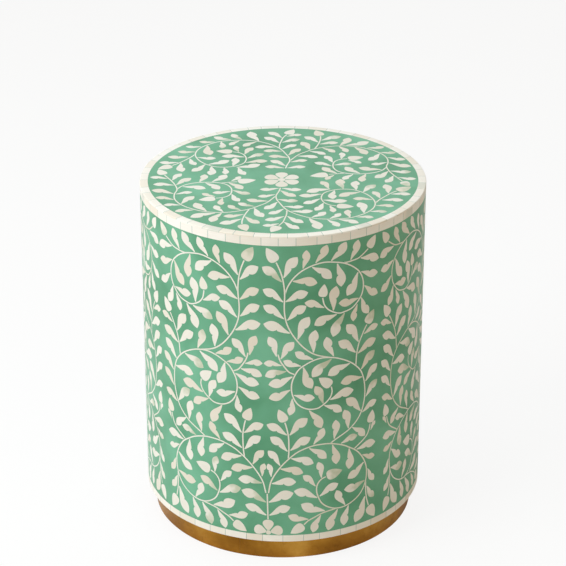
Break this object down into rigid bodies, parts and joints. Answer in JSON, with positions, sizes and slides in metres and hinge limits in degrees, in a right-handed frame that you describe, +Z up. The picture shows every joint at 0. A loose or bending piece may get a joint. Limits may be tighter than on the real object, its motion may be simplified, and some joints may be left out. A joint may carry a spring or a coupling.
{
  "type": "drum side table",
  "caption": "Round drum side table with cream bone vine leaves inlaid in green resin, bone-tiled rims and a set-back brass plinth.",
  "frame": {"origin": "centre of the footprint, on the floor", "axes": "+Z up, -Y towards the viewer of the picture, +X to the viewer's right"},
  "size_m": [0.45, 0.45, 0.568],
  "materials": {
    "green_resin": "polished, slightly cloudy",
    "bone": "polished bone",
    "bone_tile": "polished bone",
    "aged_brass": "aged, brushed by hand",
    "board": "raw fibreboard",
    "plywood": "raw plywood",
    "softwood": "sawn wood",
    "screw_steel": "plain zinc",
    "felt": "pressed felt"
  },
  "bodies": {
    "root": {"side_resin_front": "green_resin", "side_resin_right": "green_resin", "side_resin_back": "green_resin", "side_resin_left": "green_resin", "top_resin": "green_resin", "rim_ring_joints": "green_resin", "rim_edge_joints": "green_resin", "foot_band_joints": "green_resin", "side_leaves_front": "bone", "side_leaves_right": "bone", "side_leaves_back": "bone", "side_leaves_left": "bone", "side_vines_front": "bone", "side_vines_right": "bone", "side_vines_back": "bone", "side_vines_left": "bone", "side_flowers": "bone", "top_leaves": "bone", "top_vines": "bone", "top_flower": "bone", "rim_ring_tiles": "bone_tile", "rim_edge_tiles": "bone_tile", "foot_band_tiles": "bone_tile", "plinth_brass_right": "aged_brass", "plinth_brass_back": "aged_brass", "plinth_brass_left": "aged_brass", "top_panel": "board", "bottom_panel": "board", "plinth_ring_upper": "board", "plinth_ring_lower": "board", "hoop_upper": "board", "hoop_middle": "board", "hoop_lower": "board", "shell_front": "plywood", "shell_rear": "plywood", "stud_1": "softwood", "stud_2": "softwood", "stud_3": "softwood", "stud_4": "softwood", "stud_5": "softwood", "stud_6": "softwood", "stud_top_screws": "screw_steel", "stud_bottom_screws": "screw_steel", "top_panel_screws": "screw_steel", "bottom_panel_screws": "screw_steel", "plinth_screws": "screw_steel", "felt_pads": "felt"}
  },
  "joints": []
}
